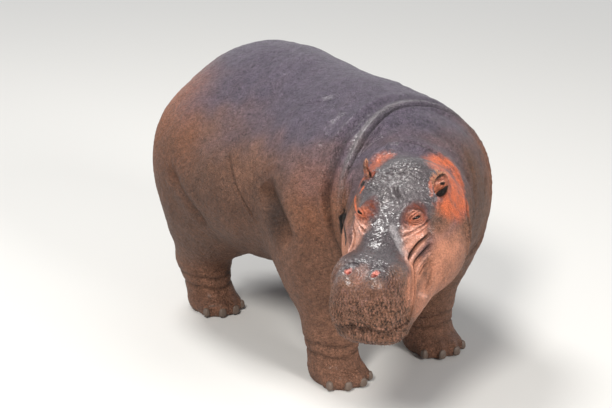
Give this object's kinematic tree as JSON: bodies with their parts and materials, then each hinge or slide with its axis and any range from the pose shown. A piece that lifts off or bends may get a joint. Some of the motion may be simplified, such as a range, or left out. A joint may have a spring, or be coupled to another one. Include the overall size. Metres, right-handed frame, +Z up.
{
  "type": "hippopotamus",
  "caption": "Adult hippopotamus standing square with its head low and turned to its right, mouth closed; a life-size still animal.",
  "frame": {"origin": "on the ground, under the middle of the whole animal's bounding box", "axes": "+Z up; the trunk lies along Y with the head end at -Y; +X is the animal's left side"},
  "size_m": [1.5426, 2.6296, 1.3925],
  "materials": {
    "hide": "bare wet-looking hide, nearly hairless, dark purplish brown above and salmon brown below",
    "eye": "wet and glossy",
    "nail": "dull horn"
  },
  "bodies": {
    "root": {"trunk": "hide", "neck": "hide", "head": "hide", "lower_jaw": "hide", "ear_left": "hide", "ear_right": "hide", "eye_left": "eye", "eye_right": "eye", "leg_front_left": "hide", "leg_front_right": "hide", "leg_rear_left": "hide", "leg_rear_right": "hide", "tail": "hide", "nail_front_left_1": "nail", "nail_front_left_2": "nail", "nail_front_left_3": "nail", "nail_front_left_4": "nail", "nail_front_right_1": "nail", "nail_front_right_2": "nail", "nail_front_right_3": "nail", "nail_front_right_4": "nail", "nail_rear_left_1": "nail", "nail_rear_left_2": "nail", "nail_rear_left_3": "nail", "nail_rear_left_4": "nail", "nail_rear_right_1": "nail", "nail_rear_right_2": "nail", "nail_rear_right_3": "nail", "nail_rear_right_4": "nail"}
  },
  "joints": []
}
